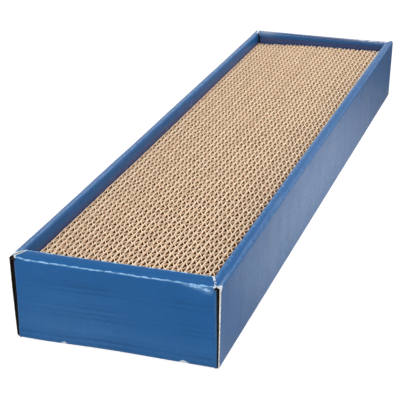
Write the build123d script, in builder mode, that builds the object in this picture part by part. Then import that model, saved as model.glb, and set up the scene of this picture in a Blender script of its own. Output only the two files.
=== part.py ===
"""Cardboard cat scratcher: a folded tray of thin printed board with a loose pad of corrugated strips."""

import os
from math import ceil, hypot

from build123d import *

os.makedirs("parts", exist_ok=True)

# Pad: strips of single-wall corrugated board on edge, glued side by side, flutes standing upright
strip_count = 30
strip_thickness = 3.7
pad_length = 457.0
pad_height = 42.0
flute_pitch = 8.0
flute_tip = 1.2
liner_paper = 0.4
medium_paper = 0.4
phase_step = 0.618

# Tray: one blank of thin board, its walls rolled over into double walls with flat ridges
board = 1.5
end_wall = 10.5
rim_above_pad = 6.0
crease_core = 0.3
flap_length = 46.0
flap_taper = 8.0
tab_length = 36.0
tab_end_inset = 95.0

# Fits
pad_side_clearance = 0.35
pad_end_clearance = 1.0
corner_slit = 1.2
mitre_gap = 0.4
end_panel_clearance = 0.2
flap_side_clearance = 0.3
flap_edge_clearance = 0.3
slot_clearance = 0.2
tab_setback = 0.2

# Sizes that follow from the pad, the board and the fits
pad_width = strip_count * strip_thickness
inner_width = pad_width + 2 * pad_side_clearance
inner_length = pad_length + 2 * pad_end_clearance
long_wall = 3 * board + corner_slit + flap_side_clearance
tray_width = inner_width + 2 * long_wall
tray_length = inner_length + 2 * end_wall
tray_height = board + pad_height + rim_above_pad
wall_top = tray_height - board
end_panel_width = tray_width - 2 * (board + corner_slit)
long_inner_length = tray_length - 2 * board
long_inner_x = (inner_width + board) / 2
end_inner_y = (inner_length + board) / 2
long_tab_y = (long_inner_length - tab_length) / 2 - tab_end_inset
long_tab_places = (-long_tab_y, long_tab_y)
crease_radius = board - crease_core

# A wave of paper runs between the liners: flat tips on each liner, straight flanks from one to the other
flute_rise = strip_thickness - 2 * liner_paper - medium_paper
flank_run = flute_pitch / 2 - flute_tip
flank_slope = flank_run / flute_rise
paper_inset = medium_paper / 2 * (hypot(1, flank_slope) - flank_slope)
cell_tip_half = flute_tip / 2 - paper_inset
cell_mouth_half = cell_tip_half + flank_run
cell_foot = strip_thickness / 2 - liner_paper
cell_count = ceil(pad_length / flute_pitch) + 2

sides = {"left": -1, "right": 1}
ends = {"front": -1, "back": 1}
standing = (Align.CENTER, Align.CENTER, Align.MIN)


def save(builder, node):
    """Label a finished piece and write it under its node's name."""
    builder.part.label = node
    export_step(builder.part, f"parts/{node}.step", write_pcurves=False)


# Floor of the tray, slotted for the locking tabs of the inner panels
with BuildPart() as base_panel:
    Box(tray_width - 2 * board, tray_length - 2 * board, board, align=standing)
    with Locations(*[(sign * long_inner_x, y, 0) for sign in sides.values() for y in long_tab_places]):
        slot_size = (board + 2 * slot_clearance, tab_length + 2 * slot_clearance)
        Box(*slot_size, board, align=standing, mode=Mode.SUBTRACT)
    with Locations(*[(0, sign * end_inner_y, 0) for sign in ends.values()]):
        Box(*reversed(slot_size), board, align=standing, mode=Mode.SUBTRACT)
save(base_panel, "base_panel")

# Long double walls: outer panel, ridge and inner panel of each
for side, sign in sides.items():
    outward = Axis((0, 0, 0), (sign, 0, 0))

    with BuildPart() as outer_wall:
        with Locations((sign * (tray_width - board) / 2, 0, 0)):
            Box(board, tray_length, wall_top, align=standing)
        bottom_edges = outer_wall.edges().filter_by(Axis.Y).group_by(Axis.Z)[0]
        fillet(bottom_edges.sort_by(outward)[-1], crease_radius)
    save(outer_wall, f"{side}_outer_wall")

    with BuildPart() as ridge:
        with BuildSketch(Plane.XY.offset(wall_top)):
            Polygon(
                (sign * tray_width / 2, -tray_length / 2),
                (sign * tray_width / 2, tray_length / 2),
                (sign * (end_panel_width / 2 + mitre_gap), tray_length / 2),
                (sign * inner_width / 2, inner_length / 2),
                (sign * inner_width / 2, -inner_length / 2),
                (sign * (end_panel_width / 2 + mitre_gap), -tray_length / 2),
                align=None,
            )
        extrude(amount=board)
        fillet(ridge.edges().filter_by(Axis.Y).group_by(Axis.Z)[-1], crease_radius)
    save(ridge, f"{side}_ridge")

    with BuildPart() as inner_wall:
        with Locations((sign * long_inner_x, 0, board)):
            Box(board, long_inner_length, wall_top - board, align=standing)
        with Locations(*[(sign * long_inner_x, y, tab_setback) for y in long_tab_places]):
            Box(board, tab_length, board - tab_setback, align=standing)
    save(inner_wall, f"{side}_inner_wall")

# End double walls, standing between the long ones
for end, sign in ends.items():
    outward = Axis((0, 0, 0), (0, sign, 0))

    with BuildPart() as outer_wall:
        with Locations((0, sign * (tray_length - board) / 2, 0)):
            Box(end_panel_width, board, wall_top, align=standing)
        bottom_edges = outer_wall.edges().filter_by(Axis.X).group_by(Axis.Z)[0]
        corner_edges = outer_wall.edges().filter_by(Axis.Z).group_by(outward)[-1]
        fillet([bottom_edges.sort_by(outward)[-1], *corner_edges], crease_radius)
    save(outer_wall, f"{end}_outer_wall")

    with BuildPart() as ridge:
        with BuildSketch(Plane.XY.offset(wall_top)):
            Polygon(
                (-end_panel_width / 2, sign * tray_length / 2),
                (end_panel_width / 2, sign * tray_length / 2),
                (inner_width / 2 - mitre_gap, sign * inner_length / 2),
                (mitre_gap - inner_width / 2, sign * inner_length / 2),
                align=None,
            )
        extrude(amount=board)
        fillet(ridge.edges().filter_by(Axis.X).group_by(Axis.Z)[-1], crease_radius)
    save(ridge, f"{end}_ridge")

    with BuildPart() as inner_wall:
        with Locations((0, sign * end_inner_y, board)):
            Box(inner_width - 2 * end_panel_clearance, board, wall_top - board, align=standing)
        with Locations((0, sign * end_inner_y, tab_setback)):
            Box(tab_length, board, board - tab_setback, align=standing)
    save(inner_wall, f"{end}_inner_wall")

# Flaps of the end panels, folded back between the panels of the long walls, narrower at the free end
for end, end_sign in ends.items():
    for side, side_sign in sides.items():
        root_y = end_sign * (tray_length / 2 - board)
        tip_y = root_y - end_sign * flap_length
        flap_bottom = board + flap_edge_clearance
        flap_top = wall_top - flap_edge_clearance
        inner_face = side_sign * (end_panel_width / 2 - board)
        with BuildPart() as corner_flap:
            with BuildSketch(Plane.YZ.offset(inner_face)):
                Polygon(
                    (root_y, flap_bottom),
                    (root_y, flap_top),
                    (tip_y, flap_top - flap_taper),
                    (tip_y, flap_bottom + flap_taper),
                    align=None,
                )
            extrude(amount=side_sign * board)
        save(corner_flap, f"{end}_{side}_corner_flap")

# Pad strips: liners and a trapezoidal wave between them, each strip cut at its own place along the wave
for index in range(strip_count):
    strip_x = (index - (strip_count - 1) / 2) * strip_thickness
    first_cell = (index * phase_step % 1 - 1) * flute_pitch - pad_length / 2
    cell_places = [first_cell + count * flute_pitch for count in range(cell_count)]
    with BuildPart() as strip:
        with BuildSketch(Plane.XY.offset(board)):
            with Locations((strip_x, 0)):
                Rectangle(strip_thickness, pad_length)
            for face_sign, shift in ((-1, 0), (1, flute_pitch / 2)):
                with Locations(*[(strip_x, y + shift) for y in cell_places]):
                    Polygon(
                        (face_sign * cell_foot, -cell_mouth_half),
                        (face_sign * (cell_foot - flute_rise), -cell_tip_half),
                        (face_sign * (cell_foot - flute_rise), cell_tip_half),
                        (face_sign * cell_foot, cell_mouth_half),
                        align=None,
                        mode=Mode.SUBTRACT,
                    )
        extrude(amount=pad_height)
    save(strip, f"strip_{index + 1:02d}")
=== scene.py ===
"""Cardboard cat scratcher: the looks of a folded blue tray and its loose pad of corrugated strips."""

import math
from typing import NamedTuple

import bpy
import numpy as np
from mathutils import Matrix, Vector


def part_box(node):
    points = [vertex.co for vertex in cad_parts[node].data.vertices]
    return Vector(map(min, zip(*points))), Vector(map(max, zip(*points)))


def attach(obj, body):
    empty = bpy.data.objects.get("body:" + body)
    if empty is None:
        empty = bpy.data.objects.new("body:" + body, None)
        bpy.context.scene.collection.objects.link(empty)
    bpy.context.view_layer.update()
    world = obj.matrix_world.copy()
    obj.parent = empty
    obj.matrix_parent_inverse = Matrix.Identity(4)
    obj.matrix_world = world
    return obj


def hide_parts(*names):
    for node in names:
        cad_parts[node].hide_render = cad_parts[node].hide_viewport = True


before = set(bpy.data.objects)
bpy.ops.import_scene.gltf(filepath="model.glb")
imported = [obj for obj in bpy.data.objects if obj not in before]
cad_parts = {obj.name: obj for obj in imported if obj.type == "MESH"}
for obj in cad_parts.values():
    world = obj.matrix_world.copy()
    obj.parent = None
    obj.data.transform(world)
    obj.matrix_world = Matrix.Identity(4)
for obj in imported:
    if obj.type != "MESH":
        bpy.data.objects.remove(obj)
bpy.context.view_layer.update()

bl_info = {
    "name": "Cardboard cat scratcher",
    "version": (1, 0, 0),
    "blender": (4, 5, 0),
    "location": "View3D > Sidebar > Scratcher",
    "description": "Dresses a folded blue board tray and its loose pad of corrugated strips",
    "category": "Object",
}

MM = 0.001
HAIR = 1e-6
SHARP_ANGLE = math.radians(38)
BLACK, WHITE = (0.0, 0.0, 0.0, 1.0), (1.0, 1.0, 1.0, 1.0)
SIDES = {"left": -1, "right": 1}
ENDS = {"front": -1, "back": 1}

# Faces of the tray and the pad, read from the model's own pieces
OUTER_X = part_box("right_outer_wall")[1][0]
INNER_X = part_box("right_inner_wall")[0][0]
OUTER_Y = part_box("back_outer_wall")[1][1]
INNER_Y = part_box("back_inner_wall")[0][1]
LONG_INNER_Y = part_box("right_inner_wall")[1][1]
END_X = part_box("back_outer_wall")[1][0]
END_INNER_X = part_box("back_inner_wall")[1][0]
RIM_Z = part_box("right_ridge")[1][2]
FLOOR_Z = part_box("base_panel")[1][2]
TAB_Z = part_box("right_inner_wall")[0][2]
BOARD = FLOOR_Z
STRIPS = sorted(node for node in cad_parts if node.startswith("strip_"))
PAD_LOW, PAD_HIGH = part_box(STRIPS[0])[0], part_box(STRIPS[-1])[1]


def colour_setting(name, description, default):
    """A colour that a user may change."""
    return bpy.props.FloatVectorProperty(
        name=name, description=description, default=default, subtype="COLOR", size=3, min=0, max=1)


def length_setting(name, description, default):
    """A length that a user may change."""
    return bpy.props.FloatProperty(
        name=name, description=description, default=default, unit="LENGTH", precision=6)


def angle_setting(name, description, degrees):
    """An angle that a user may change."""
    return bpy.props.FloatProperty(
        name=name, description=description, default=math.radians(degrees), subtype="ANGLE")


class TrayLook(bpy.types.PropertyGroup):
    """Sizes and colours of the folded tray."""

    print_colour: colour_setting("Print", "Blue ink of the printed side", (0.013, 0.097, 0.278))
    bare_colour: colour_setting("Bare paper", "White paper where the ink has worn off", (0.63, 0.70, 0.76))
    # Painted shade: a dark tone of the print laid where the back ridge's inner edge lies in shade
    painted_shade_colour: colour_setting("Painted shade", "Dark tone painted on the print for shade", (0.026, 0.042, 0.1))
    # Pale tint used for print rubbed thin and for painted sheen, reflection and crease highlights
    rubbed_and_sheen_colour: colour_setting("Rubbed print and sheen", "Pale tint of print rubbed thin, also painted as sheen and highlights", (0.3, 0.55, 0.84))
    liner_colour: colour_setting("Inside liner", "Unprinted side of the board", (0.42, 0.30, 0.19))
    cut_colour: colour_setting("Cut edge", "Raw cut edge of the board", (0.74, 0.71, 0.68))
    # Painted shade: near black for the shade in the open flutes at a raw edge
    core_shade_colour: colour_setting("Core shade", "Fluted core of the board, painted near black for shade", (0.03, 0.02, 0.014))
    crease_radius: length_setting("Crease radius", "Outside radius of a fold", 1.6 * MM)
    flute_pitch: length_setting("Board flute", "Pitch of the small flutes inside the tray's board", 3.15 * MM)
    washboard: length_setting("Washboard", "Height of the flutes' ripples in the print", 0.05 * MM)
    mitre_gap: length_setting("Mitre gap", "Gap between two ridges at a corner", 0.4 * MM)
    tab_length: length_setting("Tab length", "Length of a locking tab", 36 * MM)
    tab_inset: length_setting("Tab inset", "From the end of a long inner panel to its tab", 95 * MM)
    slot_clearance: length_setting("Slot clearance", "Gap round a tab in its slot", 0.2 * MM)


class PadLook(bpy.types.PropertyGroup):
    """Sizes and colours of the corrugated pad."""

    liner_colour: colour_setting("Liner", "Flat paper on both faces of a strip", (0.46, 0.31, 0.18))
    # Painted shade: near-black brown for the shade deep in the open flutes
    cell_shade_colour: colour_setting("Cell wall shade", "Dark tone painted for the shade deep inside the open flutes", (0.19, 0.077, 0.013))
    cut_colour: colour_setting("Cut edge", "Cut edge of the papers", (1.0, 0.73, 0.545))
    liner_paper: length_setting("Liner paper", "Thickness of the flat paper", 0.39 * MM)
    medium_paper: length_setting("Medium paper", "Thickness of the wavy paper", 0.42 * MM)
    flute_pitch: length_setting("Flute pitch", "Length of one wave", 8 * MM)
    phase_step: bpy.props.FloatProperty(
        name="Phase step", description="Shift of the wave from strip to strip, in waves", default=0.618)
    wander: length_setting("Wander", "How far the glued lines stray sideways", 0.35 * MM)
    unevenness: length_setting("Unevenness", "How much the strips differ in height", 0.3 * MM)
    left_sag: length_setting("Left sag", "How much the middle of the pad's left side has sunk", 0.8 * MM)
    edge_sag: length_setting("Edge sag", "How much lower the strips along the left wall lie", 1.6 * MM)


class StageLook(bpy.types.PropertyGroup):
    """Camera, light and floor."""

    camera_place: bpy.props.FloatVectorProperty(
        name="Camera place", description="Where the camera stands", subtype="TRANSLATION", unit="LENGTH",
        size=3, default=(0.23586, -0.76783, 0.34195))
    azimuth: angle_setting("Azimuth", "Turn of the camera to the right of the front end", 19.323)
    elevation: angle_setting("Elevation", "Height of the camera above the horizon", 23.532)
    roll: angle_setting("Roll", "Tilt of the camera about its own line of sight", -0.889)
    lens: bpy.props.FloatProperty(
        name="Lens", description="Focal length on a 36 mm sensor, in millimetres", default=108.22)
    floor_colour: colour_setting("Floor", "Pale floor round the front of the tray", (0.75, 0.75, 0.75))
    far_floor: bpy.props.FloatProperty(
        name="Far floor", description="Share of the floor's colour left behind the tray", default=0.2)
    world_light: bpy.props.FloatProperty(
        name="World light", description="Strength of the even light from above", default=0.36)
    backdrop_light: bpy.props.FloatProperty(
        name="Backdrop light", description="Strength of the light from the white backdrop all round",
        default=0.8)


# Small helpers for shapes

def slow_wave(places, length, seed, waves=4):
    """A smooth uneven line, within about one unit either way."""
    dice = np.random.default_rng(seed)
    total = np.zeros_like(places)
    for turn in range(1, waves + 1):
        beat = turn * dice.uniform(0.8, 1.2) / length
        total += np.sin(2 * np.pi * (places * beat + dice.uniform())) / turn
    return total / 1.5


def bump(places, middle, half_width):
    """One where a place is at the middle, falling smoothly to nothing past the half width."""
    return np.exp(-((places - middle) / half_width) ** 2)


def grid_quads(number):
    """The corners of every cell of a grid of numbered points."""
    return np.stack((number[:-1, :-1], number[1:, :-1], number[1:, 1:], number[:-1, 1:]), axis=-1)


def new_piece(name, points, faces, finishes, face_finish, layers=None):
    """Links a closed mesh as an object, smooth but for its sharp edges, with named values at its points."""
    mesh = bpy.data.meshes.new(name)
    mesh.from_pydata(np.asarray(points).tolist(), [], np.asarray(faces).tolist())
    for finish in finishes:
        mesh.materials.append(finish)
    mesh.polygons.foreach_set("material_index", np.asarray(face_finish, dtype=np.int32))
    for layer, values in (layers or {}).items():
        mesh.attributes.new(layer, "FLOAT", "POINT").data.foreach_set("value", values)
    mesh.shade_smooth()
    mesh.set_sharp_from_angle(angle=SHARP_ANGLE)
    piece = bpy.data.objects.new(name, mesh)
    bpy.context.scene.collection.objects.link(piece)
    return piece


# Small helpers for materials

def feed(tree, node, feeds):
    """Gives each named input of a node a value or a link."""
    for name, value in feeds.items():
        if isinstance(value, bpy.types.NodeSocket):
            tree.links.new(value, node.inputs[name])
        else:
            node.inputs[name].default_value = value


def put(tree, kind, feeds=None, **options):
    """Adds a node, sets its options and feeds its inputs."""
    node = tree.nodes.new(kind)
    for option, value in options.items():
        setattr(node, option, value)
    feed(tree, node, feeds or {})
    return node


def mix_colour(tree, share, first, second):
    """The colour between two others, by a share from 0 to 1."""
    mixed = put(tree, "ShaderNodeMix", {0: share, 6: first, 7: second}, data_type="RGBA")
    return mixed.outputs[2]


def ranged(tree, value, low, high, to_low, to_high, smooth=False):
    """A value moved from one range to another and held inside it."""
    kind = "SMOOTHSTEP" if smooth else "LINEAR"
    feeds = {"Value": value, "From Min": low, "From Max": high, "To Min": to_low, "To Max": to_high}
    return put(tree, "ShaderNodeMapRange", feeds, interpolation_type=kind).outputs[0]


def maths(tree, operation, first, second):
    """One sum of two values."""
    return put(tree, "ShaderNodeMath", {0: first, 1: second}, operation=operation).outputs[0]


def opaque(colour, gain=1.0):
    """A property's colour as a socket takes it, lighter or darker by the gain."""
    return tuple(min(1.0, part * gain) for part in colour) + (1.0,)


def new_group(name, inputs, outputs):
    """An empty shader node group with named sockets."""
    group = bpy.data.node_groups.new(name, "ShaderNodeTree")
    for socket, kind in inputs.items():
        group.interface.new_socket(socket, in_out="INPUT", socket_type=kind)
    for socket, kind in outputs.items():
        group.interface.new_socket(socket, in_out="OUTPUT", socket_type=kind)
    return group, group.nodes.new("NodeGroupInput"), group.nodes.new("NodeGroupOutput")


def worn_crease_and_sheen_group():
    """Print that has come off in broken, fibrous patches, and a pale veil for print rubbed thin and for
    painted sheen and crease highlights.
    """
    group, given, result = new_group(
        "Worn crease and sheen",
        {"Wear": "NodeSocketFloat", "Rub and sheen": "NodeSocketFloat", "Place": "NodeSocketVector",
         "Grain": "NodeSocketFloat"},
        {"Bare": "NodeSocketFloat", "Rubbed and sheen": "NodeSocketFloat"})
    wear, rub_and_sheen, place, grain = (given.outputs[name] for name in ("Wear", "Rub and sheen", "Place", "Grain"))
    coarse = put(group, "ShaderNodeTexNoise", {"Vector": place, "Scale": grain, "Detail": 3.0})
    fine_scale = maths(group, "MULTIPLY", grain, 2.6)
    fine = put(group, "ShaderNodeTexNoise", {"Vector": place, "Scale": fine_scale, "Detail": 2.0})
    both = maths(group, "ADD", maths(group, "MULTIPLY", coarse.outputs[0], 0.65),
                 maths(group, "MULTIPLY", fine.outputs[0], 0.35))
    near = ranged(group, wear, 0.0, 0.2, 0.0, 1.6)
    uneven = maths(group, "MULTIPLY", maths(group, "SUBTRACT", both, 0.5), near)
    worn = maths(group, "ADD", wear, uneven)
    bare = ranged(group, worn, 0.42, 0.72, 0.0, 1.0, smooth=True)
    patchy = maths(group, "MULTIPLY", rub_and_sheen, ranged(group, both, 0.36, 0.64, 0.2, 1.8))
    cloudy = ranged(group, coarse.outputs[0], 0.3, 0.7, 0.8, 1.2)
    smooth = maths(group, "MULTIPLY", rub_and_sheen, cloudy)
    # The smooth veil is print rubbed thin and painted sheen and highlights; the patchy scuff is rubbed print
    veil_and_sheen = ranged(group, smooth, 0.0, 1.0, 0.0, 0.7)
    scuff = ranged(group, patchy, 0.42, 0.72, 0.0, 0.9, smooth=True)
    feed(group, result, {"Bare": bare, "Rubbed and sheen": maths(group, "MAXIMUM", veil_and_sheen, scuff)})
    return group


def paper_fibre_group():
    """Cloudy mottling and short fibres of pressed paper."""
    group, given, result = new_group(
        "Paper fibre",
        {"Place": "NodeSocketVector", "Scale": "NodeSocketFloat"},
        {"Mottle": "NodeSocketFloat", "Fibre": "NodeSocketFloat"})
    place, scale = given.outputs["Place"], given.outputs["Scale"]
    cloud = put(group, "ShaderNodeTexNoise",
                {"Vector": place, "Scale": scale, "Detail": 4.0, "Roughness": 0.6})
    drawn_out = put(group, "ShaderNodeVectorMath", {0: place, 1: (1.0, 0.18, 1.0)}, operation="MULTIPLY")
    fibre_scale = maths(group, "MULTIPLY", scale, 9.0)
    fibre = put(group, "ShaderNodeTexNoise",
                {"Vector": drawn_out.outputs[0], "Scale": fibre_scale, "Detail": 3.0})
    feed(group, result, {"Mottle": cloud.outputs[0], "Fibre": fibre.outputs[0]})
    return group


def node_group(name, build):
    """A shader node group, built the first time that it is asked for."""
    return bpy.data.node_groups.get(name) or build()


def place_fibre(tree, place, scale):
    """The paper fibre group in a material, with its own scale."""
    made = put(tree, "ShaderNodeGroup", {"Place": place, "Scale": scale},
               node_tree=node_group("Paper fibre", paper_fibre_group))
    return made.outputs["Mottle"], made.outputs["Fibre"]


def new_material(name):
    """A material with a Principled shader, its node tree, its shader and its object coordinates."""
    material = bpy.data.materials.new(name)
    material.use_nodes = True
    tree = material.node_tree
    shader = tree.nodes["Principled BSDF"]
    place = put(tree, "ShaderNodeTexCoord").outputs["Object"]
    return material, tree, shader, place


def roughen(tree, shader, height, distance):
    """Gives a shader a bump of that height."""
    made = put(tree, "ShaderNodeBump", {"Height": height, "Distance": distance})
    feed(tree, shader, {"Normal": made.outputs[0]})


def printed_board(look, name="Blue printed board", gain=(1.0, 1.0, 1.0), ior=1.22):
    """Glossy blue print on white paper, streaked along the flutes, rubbed and worn along the creases, with
    painted crease highlights, painted sheen, reflection and shade.
    """
    wear_grain, fibre_scale = 420.0, 60.0
    streak_share, streak_tone = 0.45, 0.55
    material, tree, shader, place = new_material(name)
    # A gain other than one paints a darker, purpler copy of the print as shade
    blue = np.multiply(look.print_colour, gain)
    mottle, fibre = place_fibre(tree, place, fibre_scale)
    wear, rub_and_sheen, haze_and_sheen, painted_shade, flute = (
        put(tree, "ShaderNodeAttribute", attribute_name=layer).outputs["Fac"]
        for layer in ("wear", "rub_and_sheen", "haze_and_sheen", "painted_shade", "flute"))
    crease = put(tree, "ShaderNodeGroup", {"Wear": wear, "Rub and sheen": rub_and_sheen, "Place": place, "Grain": wear_grain},
                 node_tree=node_group("Worn crease and sheen", worn_crease_and_sheen_group))
    ink = mix_colour(tree, mottle, opaque(blue, 0.9), opaque(blue, 1.12))
    streak = ranged(tree, flute, 0.0, 1.0, 0.0, streak_share)
    ink = mix_colour(tree, streak, ink, opaque(blue, streak_tone))
    # Pale tint: print rubbed thin, and painted sheen, reflection and crease highlights
    ink = mix_colour(tree, crease.outputs["Rubbed and sheen"], ink, opaque(look.rubbed_and_sheen_colour))
    # Grey: print greyed by wear and by painted sheen
    ink = mix_colour(tree, haze_and_sheen, ink, opaque(look.bare_colour))
    # Painted shade: print darkened where it lies in shade
    ink = mix_colour(tree, painted_shade, ink, opaque(look.painted_shade_colour))
    bare = mix_colour(tree, fibre, opaque(look.bare_colour, 0.8), opaque(look.bare_colour, 1.1))
    colour = mix_colour(tree, crease.outputs["Bare"], ink, bare)
    gloss = ranged(tree, mottle, 0.3, 0.7, 0.2, 0.28)
    dull = maths(tree, "MAXIMUM", crease.outputs["Bare"], crease.outputs["Rubbed and sheen"])
    roughness = maths(tree, "ADD", gloss, maths(tree, "MULTIPLY", dull, 0.35))
    feed(tree, shader, {"Base Color": colour, "IOR": ior, "Roughness": roughness})
    roughen(tree, shader, fibre, 0.02 * MM)
    return material


def shaded_inside_board(look):
    """The same print on the inner panels, painted darker and purpler as shade, and glossier."""
    return printed_board(look, "Blue print with painted shade inside", gain=(2.8, 0.73, 0.73), ior=1.45)


def raw_paper(name, colour, scale, tones, roughness, grain, clouds=(0.0, 1.0), fibres=(0.0, 1.0, 0.0, 1.0)):
    """Unprinted paper, cloudy between two tones of its colour.

    Its fibres have a range, a share and a tone of their own.
    """
    material, tree, shader, place = new_material(name)
    mottle, fibre = place_fibre(tree, place, scale)
    cloud = ranged(tree, mottle, *clouds, 0.0, 1.0)
    base = mix_colour(tree, cloud, *(opaque(colour, tone) for tone in tones))
    low, high, share, fibre_tone = fibres
    base = mix_colour(tree, ranged(tree, fibre, low, high, 0.0, share), base, opaque(colour, fibre_tone))
    feed(tree, shader, {"Base Color": base, "Roughness": ranged(tree, fibre, 0.3, 0.7, *roughness)})
    roughen(tree, shader, fibre, grain)
    return material


def plain_liner(look):
    """Unprinted brown liner inside the board."""
    return raw_paper("Brown liner", look.liner_colour, 120.0, (0.8, 1.15), (0.75, 0.95), 0.05 * MM,
                     fibres=(0.45, 0.75, 0.35, 0.6))


def cut_board(look):
    """Raw edge of the board: torn paper ends, pale with darker pulp."""
    return raw_paper("Cut board edge", look.cut_colour, 500.0, (0.6, 1.3), (0.85, 1.0), 0.1 * MM,
                     clouds=(0.35, 0.65), fibres=(0.5, 0.8, 0.5, 0.45))


def shaded_fluted_core(look):
    """The fluted core, seen between the liners at a raw edge, painted near black as the shade in its open
    flutes.
    """
    return raw_paper("Fluted core with painted shade", look.core_shade_colour, 300.0, (0.6, 1.3), (0.85, 1.0), 0.1 * MM)


def kraft_paper(name, colour, scale, grain, frayed_lit_top=None):
    """Brown kraft paper with clouds, fibres and dark flecks. Given a colour for its top, it is painted paler
    near its top, as frayed paper in light, over its own colour deeper down.
    """
    frayed_lit_start, frayed_lit_end, frayed_lit_stray = 0.6 * MM, 1.2 * MM, 0.2 * MM
    frayed_lit_tint = (1.0, 0.96, 0.83)
    material, tree, shader, place = new_material(name)
    mottle, fibre = place_fibre(tree, place, scale)
    cloud = ranged(tree, mottle, 0.3, 0.7, 0.0, 1.0)
    base = mix_colour(tree, cloud, opaque(colour, 0.78), opaque(colour, 1.18))
    fleck = put(tree, "ShaderNodeTexVoronoi", {"Vector": place, "Scale": 700.0}, feature="F1")
    dark = ranged(tree, fleck.outputs["Distance"], 0.05, 0.16, 0.45, 0.0)
    base = mix_colour(tree, dark, base, opaque(colour, 0.5))
    base = mix_colour(tree, ranged(tree, fibre, 0.4, 0.8, 0.0, 0.4), base, opaque(colour, 1.3))
    if frayed_lit_top is not None:
        # Painted light and shade: pale frayed, lit paper near the top, turning with depth to the given
        # colour, which for the cell walls is painted shade
        depth = put(tree, "ShaderNodeAttribute", attribute_name="depth").outputs["Fac"]
        uneven = maths(tree, "ADD", depth, ranged(tree, mottle, 0.3, 0.7, -frayed_lit_stray, frayed_lit_stray))
        fray = ranged(tree, uneven, frayed_lit_start, frayed_lit_end, 1.0, 0.0, smooth=True)
        base = mix_colour(tree, fray, base, opaque(np.multiply(frayed_lit_top, frayed_lit_tint)))
    rough = ranged(tree, fibre, 0.3, 0.7, 0.8, 1.0)
    feed(tree, shader, {"Base Color": base, "Roughness": rough, "Specular IOR Level": 0.12})
    roughen(tree, shader, fibre, grain)
    return material


def pale_floor(look):
    """Pale floor that shows white to the camera and keeps the object's shadow.

    In the glossy print it mirrors dimmer by the front right corner and brighter close to the right wall.
    """
    far_start, far_end = 0.05, 0.35
    dim_middle, dim_start, dim_end = (0.1, -0.19, 0.0), 0.02, 0.07
    bright_start, bright_end = 0.062, 0.09
    near_glow, far_glow = 0.6, 0.9
    material, tree, shader, place = new_material("Pale floor")
    along = put(tree, "ShaderNodeSeparateXYZ", {"Vector": place}).outputs
    far = ranged(tree, along["Y"], far_start, far_end, 0.0, 1.0, smooth=True)
    tone = mix_colour(tree, far, opaque(look.floor_colour), opaque(look.floor_colour, look.far_floor))
    path = put(tree, "ShaderNodeLightPath")
    mirrored = path.outputs["Is Glossy Ray"]
    corner = put(tree, "ShaderNodeVectorMath", {0: place, 1: dim_middle}, operation="DISTANCE")
    dim = ranged(tree, corner.outputs["Value"], dim_start, dim_end, 0.5, 0.1, smooth=True)
    tone = mix_colour(tree, maths(tree, "MULTIPLY", dim, mirrored), tone, BLACK)
    feed(tree, shader, {"Base Color": tone, "Roughness": 0.9, "Specular IOR Level": 0.1})
    bright = ranged(tree, along["X"], bright_start, bright_end, 0.2, 0.0)
    beside = maths(tree, "MULTIPLY", bright, maths(tree, "SUBTRACT", 1.0, far))
    seen = maths(tree, "MAXIMUM", path.outputs["Is Camera Ray"], path.outputs["Is Transmission Ray"])
    seen_glow = maths(tree, "MULTIPLY", seen, ranged(tree, far, 0.0, 1.0, near_glow, far_glow))
    strength = maths(tree, "ADD", seen_glow, maths(tree, "MULTIPLY", mirrored, beside))
    glow = put(tree, "ShaderNodeEmission", {"Color": WHITE, "Strength": strength})
    both = put(tree, "ShaderNodeAddShader", {0: shader.outputs[0], 1: glow.outputs[0]})
    feed(tree, tree.nodes["Material Output"], {"Surface": both.outputs[0]})
    return material


# Sheets of tray board, and the order of their finishes

PRINTED, LINER, CUT, CORE_SHADE, SHADED_INSIDE = range(5)


def rim_places(columns, rows):
    """Grid places round the rim of a sheet, in order."""
    out = [(i, 0) for i in range(columns)] + [(columns - 1, j) for j in range(1, rows)]
    home = [(i, rows - 1) for i in range(columns - 2, -1, -1)] + [(0, j) for j in range(rows - 2, 0, -1)]
    return np.array(out + home)


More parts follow.
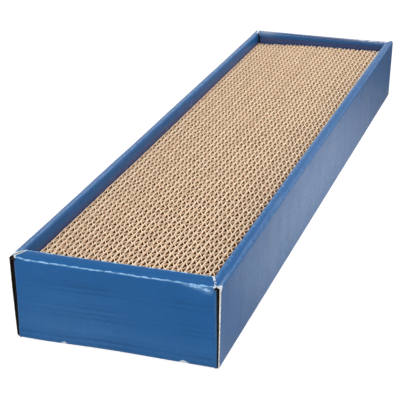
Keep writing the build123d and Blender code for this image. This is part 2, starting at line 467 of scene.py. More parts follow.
def board_sheet(name, face, normal, layers, groove=0.0, lip=0.3, opened=0.0, inside=None, rim_finish=CUT):
    """A closed sheet of board from the grid of its printed side.

    At its two raw ends the core lies back between the liners by the groove, and the board is thicker by what
    it has opened. The lip is the printed liner's share of the thickness there. Inside marks the rows of an
    inner panel.
    """
    columns, rows = face.shape[:2]
    groove, opened = (np.broadcast_to(value, (columns, rows)) for value in (groove, opened))
    other = face - (BOARD + opened)[..., None] * normal
    count = columns * rows
    number = np.arange(count).reshape(columns, rows)
    rim = rim_places(columns, rows)
    at = (rim[:, 0], rim[:, 1])
    depth = groove[at] * ((rim[:, 0] == 0) | (rim[:, 0] == columns - 1))
    inward = face[np.clip(rim[:, 0], 1, columns - 2), rim[:, 1]] - face[at]
    inward *= (depth / np.maximum(np.linalg.norm(inward, axis=1), HAIR))[:, None]
    edge_rows = ((lip, 0), (lip + 0.05, 1), (0.9, 1), (0.95, 0))
    edge = [face[at] * (1 - share) + other[at] * share + inward * back for share, back in edge_rows]
    points = np.concatenate((face.reshape(-1, 3), other.reshape(-1, 3), *edge))

    quads = grid_quads(number).reshape(-1, 4)
    lines = [number[at], *(2 * count + n * len(rim) + np.arange(len(rim)) for n in range(len(edge_rows))),
             count + number[at]]
    bands = [np.stack((np.roll(a, -1), a, b, np.roll(b, -1)), axis=-1) for a, b in zip(lines, lines[1:])]
    faces = np.concatenate((quads, quads[:, ::-1] + count, *bands))
    # Groove faces, and the back behind a groove, take the near-black core: painted shade in the open board
    core = np.tile(np.where(depth > 0, CORE_SHADE, rim_finish), len(edge_rows))
    back = np.where(groove[:-1, :-1] > 0, CORE_SHADE, LINER).reshape(-1)
    front = np.full((columns - 1, rows - 1), PRINTED)
    if inside is not None:
        # Inner panels take the print with painted shade
        front[:, inside[:-1]] = SHADED_INSIDE
    finish = np.concatenate((front.reshape(-1), back, np.full(len(rim), rim_finish), core))
    first = np.cross(face[1, 0] - face[0, 0], face[0, 1] - face[0, 0])
    if np.dot(first, normal[0, 0]) < 0:
        faces = faces[:, ::-1]
    hidden = np.zeros(len(points) - count)
    values = {layer: np.concatenate((grid.reshape(-1), hidden)) for layer, grid in layers.items()}
    return new_piece(name, points, faces, tray_finishes(), finish, values)


class Spot(NamedTuple):
    """A worn place: along the wall, over the board from the outer crease, its half sizes and its strength."""

    along: float
    over: float
    half_along: float
    half_over: float
    strength: float


class Dent(NamedTuple):
    """A place pushed outward and upward: along the wall, over from the outer crease, and its half sizes."""

    along: float
    over: float
    half_along: float
    half_over: float
    outward: float
    upward: float


class Wall(NamedTuple):
    """How one double wall has bent and worn. Lengths are in millimetres.

    Pairs are for its low end and its high end. Rubs are print rubbed thin and painted sheen and reflection,
    spots are bare paper, hazes are print greyed by wear and by painted sheen, and painted shades are print
    darkened as painted shade. The crease rubs are rubbed print with painted highlights.
    """

    seed: int
    bow: float = 0.0
    dome: float = 0.5
    ripple: float = 0.15
    foot_in: float = 0.0
    tilt: float = 0.0
    inner_rise: float = 0.0
    lip: float = 0.3
    inner_lean: tuple = (0.0, 0.0)
    outer_rub_and_highlight: float = 0.3
    inner_rub_and_highlight: float = 0.2
    end_wear: tuple = (0.3, 0.3)
    end_trim: tuple = (0.0, 0.0)
    end_gap: tuple = (0.0, 0.0)
    dents: tuple = ()
    rubs_and_sheens: tuple = ()
    spots: tuple = ()
    hazes_and_sheens: tuple = ()
    painted_shades: tuple = ()


WALLS = {
    "front": Wall(
        11, bow=-1.6, dome=0.3, inner_rise=0.65, inner_lean=(-0.6, -1.2), outer_rub_and_highlight=1.25, inner_rub_and_highlight=1.1,
        end_wear=(1.2, 2.0), end_trim=(-0.6, 1.8),
        dents=(Dent(-48, -49, 30, 14, 1.4, 0.0), Dent(-2, -49, 26, 8, 0.0, 0.3), Dent(58, 4, 7, 6, 0.0, 0.3),
               Dent(-60, 0, 5, 4, 0.0, 1.0)),
        # The first two rubs are painted reflection, paler low on the front panel; the rest are print rubbed
        # thin by the top crease
        rubs_and_sheens=(Spot(-25, -44, 45, 24, 0.1), Spot(45, -48, 30, 14, 0.07), Spot(45, -0.9, 4, 0.7, 0.4),
              Spot(50, -1.7, 3.5, 1.1, 0.48), Spot(54.5, -2.5, 2.8, 1.5, 0.5)),
        spots=(Spot(-31, -48.4, 1.8, 1.3, 1.2), Spot(40, -48.4, 3.4, 1.3, 1.3), Spot(51, -1.4, 4, 0.8, 0.32),
               Spot(55, -2.2, 2.5, 1.1, 0.42))),
    "back": Wall(
        12, bow=0.4, dome=0.45, tilt=-0.8, outer_rub_and_highlight=0.5, inner_rub_and_highlight=0.6,
        end_wear=(0.5, 0.3), end_trim=(-0.8, 0.0), end_gap=(-0.3, 0.0),
        spots=(Spot(8, 3, 90, 2.5, 0.3), Spot(44, 3, 20, 2.5, 0.42)),
        # Print greyed along the back ridge by wear and by painted sheen
        hazes_and_sheens=(Spot(0, 1.5, 120, 3, 0.13), Spot(-49, 4.5, 9, 5, 0.38)),
        # Painted shade darkening the inner edge of the back ridge
        painted_shades=(Spot(20, 7, 65, 3.2, 0.9),)),
    "left": Wall(
        13, bow=0.4, foot_in=1.5, lip=0.14, inner_lean=(1.4, 1.2), outer_rub_and_highlight=0.5, inner_rub_and_highlight=0.35,
        end_wear=(1.4, 1.0), end_gap=(0.8, 0.0),
        dents=(Dent(-240, 0, 45, 10, -0.2, 0.6), Dent(240, 4, 14, 8, 0.0, 0.5)),
        spots=(Spot(-236, 2.5, 4, 2.5, 0.8), Spot(233, 3, 9, 3, 0.5)),
        # Painted sheen: the whole left ridge greyed paler
        hazes_and_sheens=(Spot(0, 1.6, 500, 2.4, 0.2),)),
    "right": Wall(
        14, bow=-0.7, foot_in=1.6, lip=0.4, inner_lean=(-2.3, -0.3), outer_rub_and_highlight=0.28, inner_rub_and_highlight=0.4,
        dents=(Dent(-150, 5, 150, 4, 0.0, 0.5),),
        # Painted reflection of the pale floor over the front half of the right panel
        rubs_and_sheens=(Spot(-50, -28, 130, 26, 0.15),),
        spots=(Spot(-239, 0, 2.5, 1.6, 0.9),),
        # Painted sheen at the far end of the right ridge, and painted reflection on the right panel
        hazes_and_sheens=(Spot(220, 2.6, 90, 3, 0.06), Spot(-50, -28, 130, 26, 0.08))),
}


def turn(centre, radius, first, last, steps):
    """Places and normals round part of a fold, with angles in degrees."""
    angles = np.radians(np.linspace(first, last, steps + 1))
    normal = np.stack((np.cos(angles), np.sin(angles)), axis=1)
    return np.asarray(centre) + radius * normal, normal


def straight(start, end, normal, step):
    """Places and normals between two folds, without the ends."""
    count = max(2, round(math.dist(start, end) / step))
    share = np.linspace(0, 1, count + 1)[1:-1, None]
    places = np.asarray(start) * (1 - share) + np.asarray(end) * share
    return places, np.repeat([normal], len(places), axis=0).astype(float)


def fold_path(width, radius, step):
    """The printed side across a double wall: up the outer panel, over the ridge, down the inner panel.

    Places are outward from the outer face and up, and the last run ends on the tray's floor.
    """
    steps = 16
    top = RIM_Z - radius
    inside = radius - width
    pieces = [
        turn((-radius, radius), radius, -90, 0, steps),
        straight((0, radius), (0, top), (1, 0), step),
        turn((-radius, top), radius, 0, 90, steps),
        straight((-radius, RIM_Z), (inside, RIM_Z), (0, 1), step),
        turn((inside, top), radius, 90, 180, steps),
        straight((-width, top), (-width, FLOOR_Z), (-1, 0), step),
        (np.array([(-width, FLOOR_Z)]), np.array([(-1.0, 0.0)])),
    ]
    places = np.concatenate([piece[0] for piece in pieces])
    normals = np.concatenate([piece[1] for piece in pieces])
    return places, normals


def wall_columns(low_reach, high_reach, main, step, end_steps):
    """Places along a wall for each column and row: even columns, then columns out to each row's own ends."""
    even = np.linspace(-main, main, round(2 * main / step) + 1)[:, None].repeat(len(low_reach), axis=1)
    share = np.linspace(0, 1, end_steps + 1)[1:, None]
    low_tail, high_tail = (main + share * (reach[None, :] - main) for reach in (low_reach, high_reach))
    return np.concatenate((-low_tail[::-1], even, high_tail))


def fold_wall(place, sign, width, half_length, reach, main, tabs, across_flutes):
    """Folds one double wall in along, outward and up, wears its print, paints sheen, highlights and shade on
    it, and stands it in its place.
    """
    look = bpy.context.scene.scratcher_tray
    shape = WALLS[place]
    fine = look.flute_pitch / 4
    row_step, column_step, end_columns = (4 * MM, fine, 12) if across_flutes else (fine, 1.2 * MM, 5)
    places, normals = fold_path(width, look.crease_radius, row_step)
    path = np.concatenate(([0], np.cumsum(np.linalg.norm(np.diff(places, axis=0), axis=1))))
    low_end, high_end = (
        reach(places[:, 0], places[:, 1], trim * MM, gap * MM)
        for trim, gap in zip(shape.end_trim, shape.end_gap))
    along = wall_columns(low_end, high_end, main, column_step, end_columns)
    lines = np.column_stack((places, normals, path))
    out, up, normal_out, normal_up, run = np.repeat(lines.T[:, None, :], len(along), axis=1)

    # The foot of the inner panel goes down into the floor's slots at its tabs, and clears the floor elsewhere
    foot_gap = 0.1 * MM
    panel_top = RIM_Z - look.crease_radius
    inner = (places[:, 0] <= -width + HAIR) & (places[:, 1] < panel_top)
    share = np.where(inner, (panel_top - up) / (panel_top - FLOOR_Z), 0)
    in_tab = np.zeros_like(along, dtype=bool)
    for middle in tabs:
        in_tab |= np.abs(along - middle) < look.tab_length / 2
    up = up - share * np.where(in_tab, FLOOR_Z - TAB_Z, -foot_gap)

    # Where the creases lie on the way up, over and down
    quarter = math.pi * look.crease_radius / 2
    outer_crease = quarter * 1.5 + RIM_Z - 2 * look.crease_radius
    inner_crease = outer_crease + quarter + width - 2 * look.crease_radius

    def around(spot):
        """How much of a spot or dent reaches each place."""
        over = bump(run, outer_crease + spot.over * MM, spot.half_over * MM)
        return bump(along, spot.along * MM, spot.half_along * MM) * over

    def painted(spots):
        """How strongly some spots together reach each place."""
        return sum((around(spot) * spot.strength for spot in spots), np.zeros_like(along))

    # Bending of the board: leaning and bowed panels, domed ridge, dents
    belly_wave, ridge_wave = 0.31, 0.17
    height = np.clip(up / RIM_Z, 0, 1)
    outer_share = np.clip(1 + out / width, 0, 1)
    on_outer = outer_share > 0.98 - look.crease_radius / width
    from_low = (along / half_length + 1) / 2
    inner_lean = shape.inner_lean[0] * (1 - from_low) + shape.inner_lean[1] * from_low
    on_top = np.clip((up - RIM_Z + 2 * look.crease_radius) / (2 * look.crease_radius), 0, 1)
    end_share = np.clip(np.abs(along) / (half_length - look.crease_radius), 0, 1)
    belly = np.sin(np.pi * height) * (1 - end_share ** 4)
    belly *= 0.75 + 0.25 * slow_wave(along, belly_wave, shape.seed)
    push = (1 - outer_share) * height ** 6 * inner_lean
    push += on_outer * (shape.bow * belly - shape.foot_in * (1 - height))
    dome = shape.dome * (0.4 + 2.4 * outer_share * (1 - outer_share))
    uneven = shape.ripple * slow_wave(along + 0.2 * outer_share, ridge_wave, shape.seed + 50)
    slope = shape.tilt * (2 * from_low - 1) + shape.inner_rise * (1 - outer_share)
    lift = on_top * (dome + uneven + slope)
    for dent in shape.dents:
        push += around(dent) * dent.outward
        lift += around(dent) * dent.upward

    # Flutes press ripples into the print, and the ink lies darker along some of them
    flute_stray, stray_length = 0.25 * MM, 11 * MM
    patch_wave, strength_wave, streak_wave = 0.09, 0.017, 0.021
    beat, across = (along, run) if across_flutes else (run, along)
    beat = beat + flute_stray * np.sin(across / stray_length + shape.seed)
    patch = 0.55 + 0.45 * slow_wave(across + 0.4 * beat, patch_wave, shape.seed + 40)
    strength = 0.5 + 0.5 * slow_wave(beat, strength_wave, shape.seed + 30, 5)
    flutes = strength * np.cos(2 * np.pi * beat / look.flute_pitch)
    streaks = (1 - 0.5 * on_top) * (flutes + 0.7 * slow_wave(beat, streak_wave, shape.seed + 20, 7))
    ripple = look.washboard * patch * streaks
    out = out + push * MM + ripple * normal_out
    up = up + lift * MM + ripple * normal_up

    # Print rubbed along the creases with painted crease highlights, and worn off in places; the rubs and
    # hazes add painted sheen and reflection, and the painted shades add painted shade
    nick_wave, broken_wave, stray_wave = 0.006, 0.012, 0.03
    line_stray, line_half, inner_line_back, end_half = 0.1 * MM, 0.36 * MM, 1.0 * MM, 1.0 * MM
    nicks = slow_wave(along, nick_wave, shape.seed + 60, 2)
    broken = 0.66 + 0.25 * slow_wave(along, broken_wave, shape.seed + 90, 6) + 0.22 * nicks
    stray = line_stray * (slow_wave(along, stray_wave, shape.seed + 70, 6) + 1.6 * nicks)
    outer_line = broken * shape.outer_rub_and_highlight * bump(run, outer_crease + stray, line_half)
    inner_line = broken * shape.inner_rub_and_highlight * bump(run, inner_crease - inner_line_back - stray, line_half)
    on_ridge = (run > outer_crease - quarter / 4) & (run < inner_crease)
    to_end = np.where(along < 0, low_end, high_end) - np.abs(along)
    end_wear = np.where(along < 0, *shape.end_wear) * on_ridge * bump(to_end, 0.0, end_half)
    layers = {
        "wear": end_wear + 0.32 * outer_line + 0.5 * inner_line + painted(shape.spots),
        "rub_and_sheen": outer_line + inner_line + (1 - 0.3 * streaks) * painted(shape.rubs_and_sheens),
        "haze_and_sheen": painted(shape.hazes_and_sheens),
        "painted_shade": painted(shape.painted_shades),
        "flute": np.clip(patch * streaks, 0, 1),
    }

    # At the raw ends of the outer panel the board has opened towards the panel beside it, round a deep groove
    panel_groove, panel_end, ridge_groove, opened_half = 8 * MM, 10 * MM, 1 * MM, 4 * MM
    below = np.clip((outer_crease - 0.2 * MM - run) / (1 * MM), 0, 1) * on_outer
    room = np.clip(OUTER_X - BOARD - END_X - (0.1 + shape.foot_in * (1 - height)) * MM, 0, None)
    from_end = half_length - np.abs(along)
    opened = across_flutes * below * room * bump(from_end, 0.0, opened_half)
    groove = panel_groove * across_flutes * ((below > 0) & (from_end < panel_end))
    groove[[0, -1]] += ridge_groove * (on_ridge & (below == 0))[[0, -1]]

    level = np.zeros_like(out)
    if across_flutes:
        face, normal = (sign * (OUTER_X + out), along, up), (sign * normal_out, level, normal_up)
    else:
        face, normal = (along, sign * (OUTER_Y + out), up), (level, sign * normal_out, normal_up)
    face, normal = np.stack(face, axis=-1), np.stack(normal, axis=-1)
    piece = board_sheet(f"{place}_wall", face, normal, layers, groove, shape.lip, opened, inner)
    belong(piece, "tray", "printed_board", f"{place}_outer_wall", f"{place}_ridge", f"{place}_inner_wall")


def tray_finishes():
    """The materials of the tray's board, in the order of its finishes."""
    look = bpy.context.scene.scratcher_tray
    builders = {"Blue printed board": printed_board, "Brown liner": plain_liner, "Cut board edge": cut_board,
                "Fluted core with painted shade": shaded_fluted_core, "Blue print with painted shade inside": shaded_inside_board}
    return [bpy.data.materials.get(name) or build(look) for name, build in builders.items()]


def belong(piece, body, slot, *nodes):
    """A piece moves with its body and stands for its nodes."""
    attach(piece, body)
    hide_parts(*nodes)


class SCRATCHER_OT_long_walls(bpy.types.Operator):
    """Fold the two long double walls of the tray"""

    bl_idname = "scratcher.long_walls"
    bl_label = "Long walls"

    def execute(self, context):
        look = context.scene.scratcher_tray
        slack = 0.3 * MM
        tuck_start, tuck_height = 2.5 * MM, 4 * MM
        width = OUTER_X - INNER_X
        mitre_out = END_X + look.mitre_gap - OUTER_X

        def reach(out, up, trim, gap):
            """End of each row: square on the outer panel, mitred over the ridge, long again down inside."""
            mitred = INNER_Y + (OUTER_Y - INNER_Y) * (out + width) / (mitre_out + width)
            ridge = np.clip(mitred, INNER_Y, OUTER_Y) - trim * (out / width) ** 2 - gap * (1 + out / width)
            below = np.clip((RIM_Z - look.crease_radius - tuck_start - up) / tuck_height, 0, 1)
            inside = INNER_Y + (LONG_INNER_Y - slack - INNER_Y) * below
            on_inner = out <= -width + look.crease_radius
            outside = np.where(out > -look.crease_radius, OUTER_Y, ridge)
            return np.where(on_inner, np.where(below > 0, inside, ridge), outside)

        tab = LONG_INNER_Y - look.tab_length / 2 - look.tab_inset
        for side, sign in SIDES.items():
            fold_wall(side, sign, width, OUTER_Y, reach, INNER_Y - slack, (-tab, tab), True)
        return {"FINISHED"}


class SCRATCHER_OT_end_walls(bpy.types.Operator):
    """Fold the two end double walls of the tray"""

    bl_idname = "scratcher.end_walls"
    bl_label = "End walls"

    def execute(self, context):
        look = context.scene.scratcher_tray
        slack, end_run = 0.7 * MM, 4.0 * MM
        width = OUTER_Y - INNER_Y

        def reach(out, up, trim, gap):
            """End of each row: short of the corner bend, mitred over the ridge, between the walls inside."""
            mitred = INNER_X - look.mitre_gap + (END_X - INNER_X + look.mitre_gap) * (out + width) / width
            mitred = mitred - trim * (out / width) ** 2 - gap * (1 + out / width)
            panel = END_X - look.crease_radius * np.clip((RIM_Z - up) / look.crease_radius, 0, 1)
            behind = np.where(out <= -width + HAIR, END_INNER_X - slack, mitred)
            return np.where(out > -look.crease_radius, np.minimum(mitred, panel), behind)

        for end, sign in ENDS.items():
            fold_wall(end, sign, width, END_X, reach, INNER_X - end_run, (0,), False)
        return {"FINISHED"}


class SCRATCHER_OT_corner_flaps(bpy.types.Operator):
    """Fold the four corner flaps back inside the long walls"""

    bl_idname = "scratcher.corner_flaps"
    bl_label = "Corner flaps"

    def execute(self, context):
        look = context.scene.scratcher_tray
        radius = look.crease_radius
        rows, bend_steps, step = 24, 8, 1.5 * MM
        taper, foot_gap, side_gap = 8 * MM, 0.3 * MM, 0.25 * MM
        highlight_strength, highlight_middle, highlight_half = 0.3, 0.45, 0.2
        for end, end_sign in ENDS.items():
            for side, side_sign in SIDES.items():
                node = f"{end}_{side}_corner_flap"
                low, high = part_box(node)
                length = high[1] - low[1] - radius + BOARD
                bend, bend_normal = turn((END_X - radius, OUTER_Y - radius), radius, 90, 0, bend_steps)
                flat, flat_normal = straight(
                    (END_X, OUTER_Y - radius), (END_X, OUTER_Y - radius - length), (1, 0), step)
                path = np.concatenate((bend, flat))
                path_normal = np.concatenate((bend_normal, flat_normal))
                free = np.clip((OUTER_Y - radius - path[:, 1]) / length, 0, 1)
                share = np.linspace(0, 1, rows + 1)
                bottom = np.where(free > 0, low[2] + taper * free, foot_gap)
                top = high[2] - taper * free
                up = bottom[:, None] + (top - bottom)[:, None] * share[None, :]
                settle = np.clip(4 * free, 0, 1)[:, None]
                lean = WALLS[side].inner_lean[0 if end == "front" else 1] * (up / RIM_Z) ** 6
                x = side_sign * (path[:, :1] + settle * (lean * MM - side_gap))
                push = np.zeros_like(up)
                for dent in WALLS[end].dents:
                    reached = bump(side_sign * (END_X - radius), dent.along * MM, dent.half_along * MM)
                    push += reached * bump(up - RIM_Z, dent.over * MM, dent.half_over * MM) * dent.outward
                y = end_sign * (path[:, 1:] + path_normal[:, 1:] * push * MM)
                face = np.stack((x, y, up), axis=-1)
                normal = np.zeros_like(face)
                normal[..., 0] = side_sign * path_normal[:, :1]
                normal[..., 1] = end_sign * path_normal[:, 1:]
                run = np.arange(len(path)) / len(bend)
                # Painted highlight along each flap's bend, where the rounded crease catches the light
                layers = {"rub_and_sheen": highlight_strength * bump(run, highlight_middle, highlight_half)[:, None] * np.ones_like(up)}
                # The flap's raw rim takes the near-black core: painted shade
                piece = board_sheet(node + "_fold", face, normal, layers, rim_finish=CORE_SHADE)
                belong(piece, "tray", "printed_board", node)
        return {"FINISHED"}


class SCRATCHER_OT_base_panel(bpy.types.Operator):
    """Cut the tray's floor with its slots"""

    bl_idname = "scratcher.base_panel"
    bl_label = "Base panel"

    def execute(self, context):
        look = context.scene.scratcher_tray
        edge_gap, columns, digits = 0.15 * MM, 13, 7
        _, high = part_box("base_panel")
        half_x = high[0] - edge_gap - WALLS["right"].foot_in * MM
        half_y = high[1] - edge_gap
        tab = LONG_INNER_Y - look.tab_length / 2 - look.tab_inset
        half_tab = look.tab_length / 2 + look.slot_clearance
        near, far = -look.slot_clearance, BOARD + look.slot_clearance
        slots = []
        for sign in (-1, 1):
            x_span = sorted((sign * (INNER_X + near), sign * (INNER_X + far)))
            y_span = sorted((sign * (INNER_Y + near), sign * (INNER_Y + far)))
            slots += [(*x_span, middle - half_tab, middle + half_tab) for middle in (-tab, tab)]
            slots.append((-half_tab, half_tab, *y_span))
        step = look.flute_pitch / 4
        cuts_x = [value for slot in slots for value in slot[:2]]
        cuts_y = [value for slot in slots for value in slot[2:]]
        even_x = np.linspace(-half_x, half_x, columns)
        even_y = np.linspace(-half_y, half_y, round(2 * half_y / step))
        xs = np.unique(np.round(np.concatenate((even_x, cuts_x)), digits))
        ys = np.unique(np.round(np.concatenate((even_y, cuts_y)), digits))
        mid_x, mid_y = np.meshgrid((xs[1:] + xs[:-1]) / 2, (ys[1:] + ys[:-1]) / 2, indexing="ij")
        solid = np.ones_like(mid_x, dtype=bool)
        for x0, x1, y0, y1 in slots:
            solid &= ~((mid_x > x0) & (mid_x < x1) & (mid_y > y0) & (mid_y < y1))

        grid_x, grid_y = np.meshgrid(xs, ys, indexing="ij")
        under = look.washboard * (1 + np.cos(2 * np.pi * grid_y / look.flute_pitch))
        count = grid_x.size
        points = np.concatenate((
            np.stack((grid_x, grid_y, under), axis=-1).reshape(-1, 3),
            np.stack((grid_x, grid_y, np.full_like(grid_x, FLOOR_Z)), axis=-1).reshape(-1, 3)))
        number = np.arange(count).reshape(grid_x.shape)
        quads = grid_quads(number)[solid]
        walls = []
        padded = np.pad(solid, 1)
        for i, j in zip(*np.nonzero(solid)):
            a, b, c, d = number[i, j], number[i + 1, j], number[i + 1, j + 1], number[i, j + 1]
            sides = (((i + 1, j), a, b), ((i + 2, j + 1), b, c), ((i + 1, j + 2), c, d), ((i, j + 1), d, a))
            for beside, first, second in sides:
                if not padded[beside]:
                    walls.append((first, second, second + count, first + count))
        faces = np.concatenate((quads[:, ::-1], quads + count, np.array(walls)))
        finish = np.repeat((PRINTED, LINER, CUT), (len(quads), len(quads), len(walls)))
        used, faces = np.unique(faces, return_inverse=True)
        piece = new_piece("floor_panel", points[used], faces.reshape(-1, 4), tray_finishes(), finish)
        belong(piece, "tray", "printed_board", "base_panel")
        return {"FINISHED"}


# Strips of the pad

def ribbon(first, second, bottom, top):
    """A standing ribbon of paper between two lines: points, depths below its top, faces and their kinds.

    Kind 0 is the side on the first line, 1 the side on the second line and 2 a cut edge.
    """
    n = len(first)
    floor = np.full(n, bottom)
    edges = [(line, level) for line in (first, second) for level in (floor, top)]
    points = np.concatenate([np.column_stack(edge) for edge in edges])
    k = np.arange(n - 1)
    sides = np.concatenate((
        np.stack((k, k + n, k + n + 1, k + 1), axis=-1),
        np.stack((k + 2 * n, k + 2 * n + 1, k + 3 * n + 1, k + 3 * n), axis=-1)))
    cuts = np.concatenate((
        np.stack((k + n, k + 3 * n, k + 3 * n + 1, k + n + 1), axis=-1),
        np.stack((k, k + 1, k + 2 * n + 1, k + 2 * n), axis=-1),
        [(0, 2 * n, 3 * n, n), (n - 1, 2 * n - 1, 4 * n - 1, 3 * n - 1)]))
    depth = np.concatenate([top - level for _, level in edges])
    return points, depth, np.concatenate((sides, cuts)), np.repeat((0, 1, 2), (n - 1, n - 1, len(cuts)))


class SCRATCHER_OT_pad_strips(bpy.types.Operator):
    """Cut and glue the corrugated strips of the pad"""

    bl_idname = "scratcher.pad_strips"
    bl_label = "Pad strips"

    def execute(self, context):
        look = context.scene.scratcher_pad
        finishes = [
            kraft_paper("Kraft liner", look.liner_colour, 160.0, 0.06 * MM),
            # Cell walls are painted near-black brown for the shade deep in the flutes, paler near the top for
            # fray and light
            kraft_paper("Kraft cell wall with painted shade", look.cell_shade_colour, 200.0, 0.06 * MM, look.cut_colour),
            kraft_paper("Kraft cut edge", look.cut_colour, 400.0, 0.15 * MM),
        ]
        glue, wave_drop, fray = 0.01 * MM, 0.2 * MM, 0.12 * MM
        liner_columns, wave_columns, wave_point = 231, 16, 0.97
        drift_wave, swing_wave, long_stray, short_stray = 0.12, 0.09, 0.037, 0.019
        sag_middle, sag_half, sunk_strips = -0.03, 0.14, 7
        count = len(STRIPS)
        pitch = (PAD_HIGH[0] - PAD_LOW[0]) / count
        pressed_in = -0.35 * WALLS["right"].inner_lean[0] * MM

        def glue_line(index, y):
            """Where the line between two strips runs, straying a little but not at the pad's two sides."""
            free = math.sin(math.pi * index / count)
            stray = np.sin(y / long_stray + 0.31 * index) + 0.7 * np.sin(y / short_stray - 0.23 * index + 1.7)
            pressed = index / count * pressed_in * (PAD_HIGH[1] - y) / (PAD_HIGH[1] - PAD_LOW[1])
            return PAD_LOW[0] + index * pitch - pressed + look.wander * free * 0.6 * stray

        def wavy_top(index, y):
            """How far the pad's top lies below its own level, as a negative height."""
            sag = look.left_sag * (1 - index / count) * bump(y, sag_middle, sag_half)
            sag += look.edge_sag * bump(index, 0, sunk_strips)
            return -sag

        dice = np.random.default_rng(5)
        for index, node in enumerate(STRIPS):
            low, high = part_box(node)
            top = high[2] + look.unevenness * dice.uniform(-1, 0.5)
            liner_y = np.linspace(low[1], high[1], liner_columns)
            steps = round(wave_columns * (high[1] - low[1]) / look.flute_pitch)
            wave_y = np.linspace(low[1], high[1], steps + 1)
            parts = []
            for left, right in ((0, look.liner_paper), (-look.liner_paper, 0)):
                edge = glue_line(index + (left < 0), liner_y)
                inset = glue if left == 0 else 0
                outset = glue if right == 0 else 0
                rough = top + wavy_top(index, liner_y) + fray * dice.standard_normal(len(liner_y))
                finish = (0, 1, 2) if left == 0 else (1, 0, 2)
                first = np.column_stack((edge + left + inset, liner_y))
                second = np.column_stack((edge + right - outset, liner_y))
                parts.append((finish, ribbon(first, second, low[2], rough)))
            start, end = glue_line(index, wave_y), glue_line(index + 1, wave_y)
            swing = (end - start) / 2 - look.liner_paper - look.medium_paper / 2 - glue
            drift = 0.5 * slow_wave(wave_y, drift_wave, 200 + index)
            angle = 2 * np.pi * ((wave_y - low[1]) / look.flute_pitch - index * look.phase_step) + drift
            swing = swing * (1 - 0.05 * (1 + slow_wave(wave_y, swing_wave, 300 + index)))
            x = (start + end) / 2 + swing * np.arcsin(wave_point * np.sin(angle)) / math.asin(wave_point)
            lean = np.gradient(x, wave_y)
            half = look.medium_paper / 2 / np.hypot(1, lean)
            side = np.column_stack((half, -half * lean))
            middle = np.column_stack((x, wave_y))
            middle_top = top + wavy_top(index, wave_y) - wave_drop
            middle_top += fray * dice.standard_normal(len(wave_y))
            parts.append(((1, 1, 2), ribbon(middle - side, middle + side, low[2], middle_top)))

            points, depths, faces, face_finish, offset = [], [], [], [], 0
            for finish, (part_points, depth, part_faces, kind) in parts:
                points.append(part_points)
                depths.append(depth)
                faces.append(part_faces + offset)
                face_finish.append(np.take(finish, kind))
                offset += len(part_points)
            piece = new_piece(f"pad_{node}", np.concatenate(points), np.concatenate(faces), finishes,
                              np.concatenate(face_finish), {"depth": np.concatenate(depths)})
            belong(piece, "pad", "kraft_strips", node)
        return {"FINISHED"}


class Lamp(NamedTuple):
    """A soft square lamp: where it hangs, what it faces, its width in metres and its power in watts."""

    place: tuple
    aim: tuple
    size: float
    power: float


LAMPS = {
    "front": Lamp((-0.25, -0.95, 0.75), (0, 0, 0), 0.7, 6.5),
    "top": Lamp((0.35, 0.7, 1.05), (0, 0, 0), 1.0, 13.2),
    "side": Lamp((0.42, -0.02, 0.22), (0.06, -0.04, 0.02), 0.25, 0.25),
}


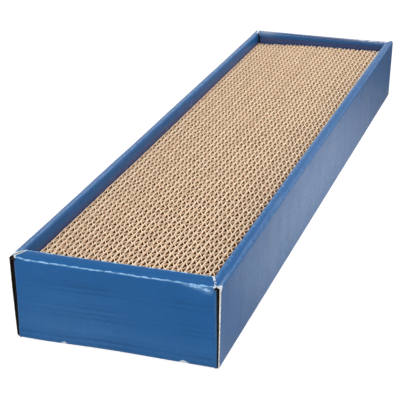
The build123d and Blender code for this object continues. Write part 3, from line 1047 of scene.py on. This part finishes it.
class SCRATCHER_OT_stage(bpy.types.Operator):
    """Set the floor, the lamps and the camera"""

    bl_idname = "scratcher.stage"
    bl_label = "Stage"

    def execute(self, context):
        look = context.scene.scratcher_stage
        scene = context.scene
        scene.view_settings.view_transform = "Standard"

        half, level = 4.0, -0.1 * MM
        corners = [(-half, -half, level), (half, -half, level), (half, half, level), (-half, half, level)]
        mesh = bpy.data.meshes.new("floor")
        mesh.from_pydata(corners, [], [(0, 1, 2, 3)])
        mesh.materials.append(pale_floor(look))
        floor = bpy.data.objects.new("floor", mesh)
        scene.collection.objects.link(floor)

        world = bpy.data.worlds.new("Studio")
        scene.world = world
        world.use_nodes = True
        tree = world.node_tree
        path = put(tree, "ShaderNodeLightPath")
        seen = maths(tree, "MAXIMUM", path.outputs["Is Camera Ray"], path.outputs["Is Transmission Ray"])
        direction = put(tree, "ShaderNodeTexCoord").outputs["Generated"]
        height = put(tree, "ShaderNodeSeparateXYZ", {"Vector": direction}).outputs["Z"]
        backdrop_top, sky_start = 0.27, 0.39
        light = ranged(
            tree, height, backdrop_top, sky_start, look.backdrop_light, look.world_light, smooth=True)
        strength = maths(tree, "MAXIMUM", seen, light)
        feed(tree, tree.nodes["Background"], {"Color": WHITE, "Strength": strength})

        for name, lamp in LAMPS.items():
            light = bpy.data.lights.new(name, "AREA")
            light.size = lamp.size
            light.energy = lamp.power
            holder = bpy.data.objects.new(name, light)
            holder.location = lamp.place
            holder.rotation_mode = "QUATERNION"
            holder.rotation_quaternion = (Vector(lamp.aim) - Vector(lamp.place)).to_track_quat("-Z", "Y")
            scene.collection.objects.link(holder)

        azimuth, elevation = look.azimuth, look.elevation
        back = Vector((math.sin(azimuth) * math.cos(elevation), -math.cos(azimuth) * math.cos(elevation),
                       math.sin(elevation)))
        right = Vector((0, 0, 1)).cross(back).normalized()
        up = back.cross(right)
        rolled_right = math.cos(look.roll) * right + math.sin(look.roll) * up
        rolled_up = math.cos(look.roll) * up - math.sin(look.roll) * right
        camera = bpy.data.cameras.new("camera")
        camera.sensor_width = 36.0
        camera.lens = look.lens
        holder = bpy.data.objects.new("camera", camera)
        turned = Matrix((rolled_right, rolled_up, back)).transposed().to_4x4()
        holder.matrix_world = Matrix.Translation(look.camera_place) @ turned
        scene.collection.objects.link(holder)
        scene.camera = holder
        return {"FINISHED"}


class SCRATCHER_PT_panel(bpy.types.Panel):
    """Lists the pieces of the scratcher and their sizes and colours"""

    bl_idname = "SCRATCHER_PT_panel"
    bl_label = "Cat scratcher"
    bl_space_type = "VIEW_3D"
    bl_region_type = "UI"
    bl_category = "Scratcher"

    def draw(self, context):
        for settings in LOOKS:
            box = self.layout.box()
            box.label(text=settings.__doc__)
            look = getattr(context.scene, LOOKS[settings])
            for name in settings.__annotations__:
                box.prop(look, name)
        for operator in OPERATORS:
            self.layout.operator(operator.bl_idname)


LOOKS = {TrayLook: "scratcher_tray", PadLook: "scratcher_pad", StageLook: "scratcher_stage"}
OPERATORS = (SCRATCHER_OT_base_panel, SCRATCHER_OT_long_walls, SCRATCHER_OT_end_walls,
             SCRATCHER_OT_corner_flaps, SCRATCHER_OT_pad_strips, SCRATCHER_OT_stage)


def register():
    """Registers the classes and hangs their settings on the scene."""
    for made in (*LOOKS, *OPERATORS, SCRATCHER_PT_panel):
        bpy.utils.register_class(made)
    for settings, name in LOOKS.items():
        setattr(bpy.types.Scene, name, bpy.props.PointerProperty(type=settings))


def unregister():
    """Takes the settings and the classes away again."""
    for name in LOOKS.values():
        delattr(bpy.types.Scene, name)
    for made in reversed((*LOOKS, *OPERATORS, SCRATCHER_PT_panel)):
        bpy.utils.unregister_class(made)


def main():
    """Makes every piece and the stage."""
    register()
    bpy.ops.scratcher.base_panel()
    bpy.ops.scratcher.long_walls()
    bpy.ops.scratcher.end_walls()
    bpy.ops.scratcher.corner_flaps()
    bpy.ops.scratcher.pad_strips()
    bpy.ops.scratcher.stage()
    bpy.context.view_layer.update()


if __name__ == "__main__":
    main()
